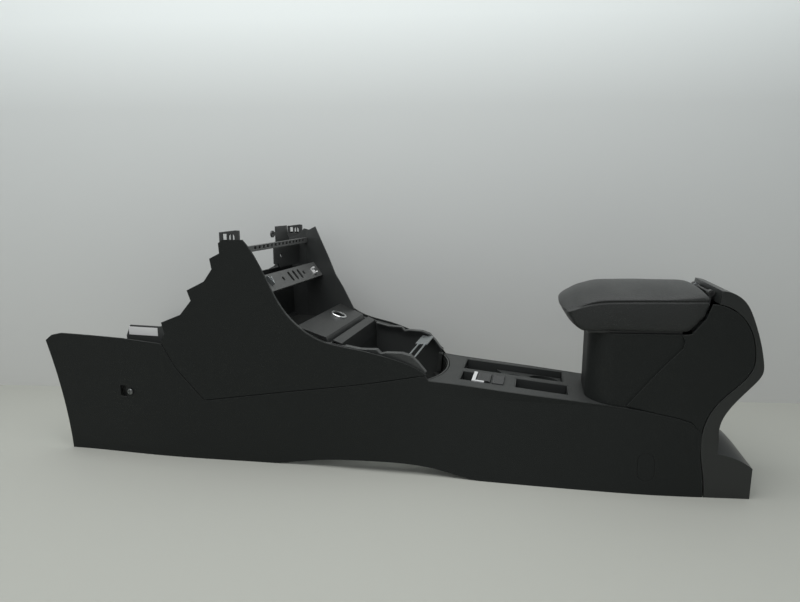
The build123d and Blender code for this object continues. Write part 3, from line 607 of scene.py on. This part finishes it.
held = 0
for vertex in pad.data.vertices:
    nearest, normal, _, _ = outer_form.find_nearest(vertex.co)
    at_board = normal.z < BOARD_SIDE or vertex.co.x > REAR_HOLD_X
    limit = -BOARD_CLEARANCE if at_board else CROWN
    proud = (vertex.co - nearest).dot(normal)
    if proud > limit:
        vertex.co -= normal * (proud - limit)
        held += 1
print("held", held, "points to the pad's size")

# %% [markdown]
# ## The seam
# The remesh wipes out anything so narrow as a seam, so it is pressed in afterwards, on a finer mesh, as a groove
# at a height that follows the seam's line in side view. A slow noise adds the slight waves of a stretched cover.
# The normals are read before any point moves, because each read after a move works all of them out again.

# %% Press in the seam and the cover's slight waves
SEAM_DEPTH = 0.0015
SEAM_HALF_WIDTH = 0.0016
SEAM_FADE = 0.9
SEAM_REACH = 2.5
WAVE_HEIGHT = 0.00020
WAVES_PER_METRE = 26.0

relax = pad.modifiers.new("even surface", "SMOOTH")
relax.iterations = 2
finer = pad.modifiers.new("finer", "SUBSURF")
finer.levels = finer.render_levels = 2
settle(pad)
normals = [vertex.normal.copy() for vertex in pad.data.vertices]
for vertex, normal in zip(pad.data.vertices, normals):
    away = (vertex.co.z - seam_height(vertex.co.x)) / SEAM_HALF_WIDTH
    side = max(0.0, 1.0 - abs(normal.z) / SEAM_FADE)
    groove = SEAM_DEPTH * math.exp(-away * away) * min(1.0, SEAM_REACH * side)
    wave = WAVE_HEIGHT * noise.noise(vertex.co * WAVES_PER_METRE)
    vertex.co -= normal * (groove + wave)
for polygon in pad.data.polygons:
    polygon.use_smooth = True
pad.data.materials.clear()
pad.data.materials.append(finishes["armrest_leather"])
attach(pad, "armrest")
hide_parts("armrest_pad")
print("cushion of", len(pad.data.polygons), "faces")

# %% [markdown]
# ## Stitches
# A row of short stitches follows the seam, just above it. They repeat along a path, which is what Geometry Nodes
# are for: the path is resampled at the stitch's pitch, a small bead is put on each point and turned along the
# path, and the copies are made real, as one mesh.

# %% The path of the stitches on the cushion
STITCH_RISE = 0.0030
STITCH_PITCH = 0.0052
STITCH_LENGTH = 0.0038
STITCH_WIDTH = 0.0007
PATH_STEP = 0.002
CORNER_X, REAR_END_X, SIDE_POINTS = 0.316, 0.514, 100
FRONT_X, FRONT_LEFT_Y, FRONT_POINTS = 0.302, -0.072, 73
RAY_LENGTH = 0.2

surface_tree = BVHTree.FromObject(pad, bpy.context.evaluated_depsgraph_get())


def on_cushion(x, y, toward):
    """The point of the cushion's surface that is met from outside, at the height of the stitches."""
    start = Vector((x, y, seam_height(x) + STITCH_RISE)) - toward * RAY_LENGTH
    return surface_tree.ray_cast(start, toward)[0]


to_right, to_left, to_rear = Vector((0, 1, 0)), Vector((0, -1, 0)), Vector((1, 0, 0))
left_run = [on_cushion(REAR_END_X - PATH_STEP * i, 0.0, to_right) for i in range(SIDE_POINTS)]
front_run = [on_cushion(FRONT_X, FRONT_LEFT_Y + PATH_STEP * i, to_rear) for i in range(FRONT_POINTS)]
right_run = [on_cushion(CORNER_X + PATH_STEP * i, 0.0, to_left) for i in range(SIDE_POINTS)]
path_points = [point for point in left_run + front_run + right_run if point is not None]
path_mesh = bpy.data.meshes.new("armrest_stitches")
path_mesh.from_pydata(path_points, [(i, i + 1) for i in range(len(path_points) - 1)], [])
stitches = add_object("armrest_stitches", path_mesh)
print("stitch path of", len(path_points), "points")

# %% Geometry Nodes that sew beads along a path
sewing = bpy.data.node_groups.new("Row of stitches", "GeometryNodeTree")
sewing.interface.new_socket("Geometry", in_out="INPUT", socket_type="NodeSocketGeometry")
sewing_inputs = {}
for label, kind in (("Pitch", "Float"), ("Length", "Float"), ("Width", "Float"), ("Thread", "Material")):
    socket = sewing.interface.new_socket(label, in_out="INPUT", socket_type="NodeSocket" + kind)
    sewing_inputs[label] = socket.identifier
sewing.interface.new_socket("Geometry", in_out="OUTPUT", socket_type="NodeSocketGeometry")


def geometry_node(kind, prefix="GeometryNode", **settings):
    """A node of the sewing group with its settings."""
    node = sewing.nodes.new(prefix + kind)
    for label, value in settings.items():
        setattr(node, label, value)
    return node


entry, result = sewing.nodes.new("NodeGroupInput"), sewing.nodes.new("NodeGroupOutput")
to_curve = geometry_node("MeshToCurve")
even = geometry_node("ResampleCurve", mode="LENGTH")
tangent = geometry_node("InputTangent")
turn = geometry_node("AlignRotationToVector", prefix="FunctionNode", axis="X")
bead = geometry_node("MeshUVSphere")
bead.inputs["Segments"].default_value = 8
bead.inputs["Rings"].default_value = 6
bead.inputs["Radius"].default_value = 0.5
bead_size = sewing.nodes.new("ShaderNodeCombineXYZ")
sew = geometry_node("InstanceOnPoints")
real = geometry_node("RealizeInstances")
smooth = geometry_node("SetShadeSmooth")
coloured = geometry_node("SetMaterial")
wire(
    sewing,
    (entry, "Geometry", to_curve, "Mesh"),
    (to_curve, "Curve", even, "Curve"),
    (entry, "Pitch", even, "Length"),
    (tangent, "Tangent", turn, "Vector"),
    (even, "Curve", sew, "Points"),
    (bead, "Mesh", sew, "Instance"),
    (turn, "Rotation", sew, "Rotation"),
    (entry, "Length", bead_size, "X"),
    (entry, "Width", bead_size, "Y"),
    (entry, "Width", bead_size, "Z"),
    (bead_size, "Vector", sew, "Scale"),
    (sew, "Instances", real, "Geometry"),
    (real, "Geometry", smooth, "Geometry"),
    (smooth, "Geometry", coloured, "Geometry"),
    (entry, "Thread", coloured, "Material"),
    (coloured, "Geometry", result, "Geometry"),
)

thread = plastic("thread", (0.030, 0.031, 0.033), 0.6, 3000.0, 0.00005, edge=0.0001, dust=0.05)
modifier = stitches.modifiers.new("sewing", "NODES")
modifier.node_group = sewing
modifier[sewing_inputs["Pitch"]] = STITCH_PITCH
modifier[sewing_inputs["Length"]] = STITCH_LENGTH
modifier[sewing_inputs["Width"]] = STITCH_WIDTH
modifier[sewing_inputs["Thread"]] = thread
settle(stitches)
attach(stitches, "armrest")
print("stitches of", len(stitches.data.polygons), "faces")

# %% [markdown]
# ## Clips behind the nose slots
# The slot near each nose looks dark in the photograph, and a folded strip behind it is the likely reason: two feet
# on the panel's inner face and a raised middle. A strip is easiest as a row of flat faces, with thickness from
# Solidify and soft folds from Bevel. Each panel's inner face is found by a ray, so the feet lie against it.

# %% A folded clip behind each slot
CLIP_GAP, CLIP_RISE = 0.0003, 0.0060
CLIP_PROFILE = [
    (-0.4660, CLIP_GAP), (-0.4615, CLIP_GAP), (-0.4600, CLIP_RISE),
    (-0.4462, CLIP_RISE), (-0.4448, CLIP_GAP), (-0.4436, CLIP_GAP),
]
CLIP_LOW, CLIP_HIGH = 0.102, 0.134
CLIP_SHEET = 0.0008
FOLD_RADIUS = 0.0003
PROBE_Z = CLIP_LOW - 0.004


def folded_clip(side, sign):
    """The clip of one side, where sign is that side's direction along Y."""
    panel = frame["nodes"]["lower_panel_" + side]
    panel_tree = BVHTree.FromObject(panel, bpy.context.evaluated_depsgraph_get())
    points = []
    for x, depth in CLIP_PROFILE:
        wall = panel_tree.ray_cast(Vector((x, 0.0, PROBE_Z)), Vector((0.0, sign, 0.0)))[0]
        inner = wall.y - sign * (depth + CLIP_SHEET / 2)
        points += [(x, inner, CLIP_LOW), (x, inner, CLIP_HIGH)]
    faces = [(2 * i, 2 * i + 2, 2 * i + 3, 2 * i + 1) for i in range(len(CLIP_PROFILE) - 1)]
    mesh = bpy.data.meshes.new("slot_clip_" + side)
    mesh.from_pydata(points, [], faces)
    clip = add_object("slot_clip_" + side, mesh)
    sheet = clip.modifiers.new("sheet", "SOLIDIFY")
    sheet.thickness = CLIP_SHEET
    sheet.offset = 0.0
    folds = clip.modifiers.new("folds", "BEVEL")
    folds.width = FOLD_RADIUS
    folds.segments = 2
    settle(clip)
    clip.data.materials.append(finishes["black_plastic"])
    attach(clip, "console")
    return clip


clips = [folded_clip("left", -1), folded_clip("right", 1)]
print("clips", [clip.name for clip in clips])

# %% [markdown]
# ## Floor, backdrop and light
# The photograph has a plain grey floor and a pale wall close behind the console, nearly square to the camera. The
# wall is lit from above, so it is bright at the top and darker near the floor, and its colour holds that gradient.
# Its material lets the camera through from behind, so that the console can be seen from all sides.

# %% Floor and backdrop
FLOOR_HALF = 6.0
WALL_AHEAD = 1.30
WALL_TURN = TURN - math.radians(4.0)
WALL_TOP = 1.8
SHADED_HEIGHT = 0.85


def flat_sheet(name, corners):
    """A four-cornered sheet of the stage."""
    mesh = bpy.data.meshes.new(name)
    mesh.from_pydata(corners, [], [(0, 1, 2, 3)])
    obj = add_object(name, mesh)
    obj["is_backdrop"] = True
    return obj


ahead = Vector((-math.sin(TURN), math.cos(TURN), 0.0))
along = Vector((math.cos(WALL_TURN), math.sin(WALL_TURN), 0.0)) * FLOOR_HALF
foot = Vector((EYE.x, EYE.y, 0.0)) + ahead * WALL_AHEAD
top = Vector((0.0, 0.0, WALL_TOP))
corners = [Vector((x, y, 0.0)) * FLOOR_HALF for x, y in ((-1, -1), (1, -1), (1, 1), (-1, 1))]
floor = flat_sheet("floor", corners)
wall = flat_sheet("wall", [foot - along, foot + along, foot + along + top, foot - along + top])

floor_finish, tree, surface = start_material("floor")
speckle = add_node(tree, "TexNoise", Scale=3.0, Detail=4.0)
shade = add_node(tree, "ValToRGB")
shade.color_ramp.elements[0].color = (0.40, 0.41, 0.37, 1.0)
shade.color_ramp.elements[1].color = (0.46, 0.47, 0.43, 1.0)
wire(
    tree,
    (speckle, "Fac", shade, "Fac"),
    (shade, "Color", surface, "Base Color"),
)
surface.inputs["Roughness"].default_value = 0.7
floor.data.materials.append(floor_finish)

wall_finish, tree, surface = start_material("wall")
place = add_node(tree, "TexCoord")
height = add_node(tree, "SeparateXYZ")
rise = add_node(tree, "MapRange", From_Min=0.0, From_Max=SHADED_HEIGHT, To_Min=0.0, To_Max=1.0)
shade = add_node(tree, "ValToRGB")
shade.color_ramp.elements[0].color = (0.62, 0.63, 0.61, 1.0)
shade.color_ramp.elements[1].color = (0.85, 0.90, 0.89, 1.0)
shade.color_ramp.elements.new(0.78).color = (0.68, 0.71, 0.70, 1.0)
behind = add_node(tree, "NewGeometry")
clear = add_node(tree, "BsdfTransparent")
either = add_node(tree, "MixShader")
output = tree.nodes["Material Output"]
wire(
    tree,
    (place, "Object", height, "Vector"),
    (height, "Z", rise, "Value"),
    (rise, "Result", shade, "Fac"),
    (shade, "Color", surface, "Base Color"),
    (behind, "Backfacing", either, "Fac"),
    (surface, "BSDF", either, 1),
    (clear, "BSDF", either, 2),
    (either, "Shader", output, "Surface"),
)
surface.inputs["Roughness"].default_value = 0.9
wall.data.materials.append(wall_finish)
print("floor and wall")

# %% [markdown]
# One broad lamp hangs above and a little in front, which lights the tops and leaves the sides dark, as in the
# photograph. Weak, low lamps in front, at the left and behind keep the upright faces readable from every side, and
# a plain grey world fills the rest.

# %% Lamps and world
WORLD_LIGHT, WORLD_SEEN = 0.27, 0.75


def lamp(name, power, size, place, target):
    """A rectangular lamp of so many watts and metres, at a place, that looks at a target."""
    data = bpy.data.lights.new(name, "AREA")
    data.shape = "RECTANGLE"
    data.size, data.size_y = size
    data.energy = power
    obj = add_object(name, data)
    obj.location = place
    obj.rotation_euler = (Vector(target) - Vector(place)).to_track_quat("-Z", "Y").to_euler()


lamp("overhead", 28.0, (2.2, 1.4), (0.0, -0.45, 1.75), (0.0, 0.0, 0.2))
lamp("front", 3.0, (1.6, 0.8), (-0.2, -2.2, 0.7), (0.0, 0.0, 0.15))
lamp("left", 3.0, (1.0, 1.0), (-1.9, -0.9, 0.8), (-0.55, -0.1, 0.15))
lamp("back", 5.0, (2.0, 1.0), (0.2, 2.4, 1.0), (0.0, 0.1, 0.15))

world = bpy.data.worlds.new("studio")
scene.world = world
world.use_nodes = True
tree = world.node_tree
background = tree.nodes["Background"]
background.inputs["Color"].default_value = (0.92, 0.95, 1.0, 1.0)
sight = add_node(tree, "LightPath")
level = add_node(tree, "MapRange", To_Min=WORLD_LIGHT, To_Max=WORLD_SEEN)
wire(
    tree,
    (sight, "Is Camera Ray", level, "Value"),
    (level, "Result", background, "Strength"),
)
print("four lamps and a grey world")

# %% [markdown]
# ## Sizes
# The CAD box and the dressed model's box are written side by side, so that a piece that has grown shows at once.

# %% Write both boxes and finish
dressed_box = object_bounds()
for label, (low, high) in (("CAD box", cad_box), ("dressed box", dressed_box)):
    print(label, [round(size, 4) for size in high - low])
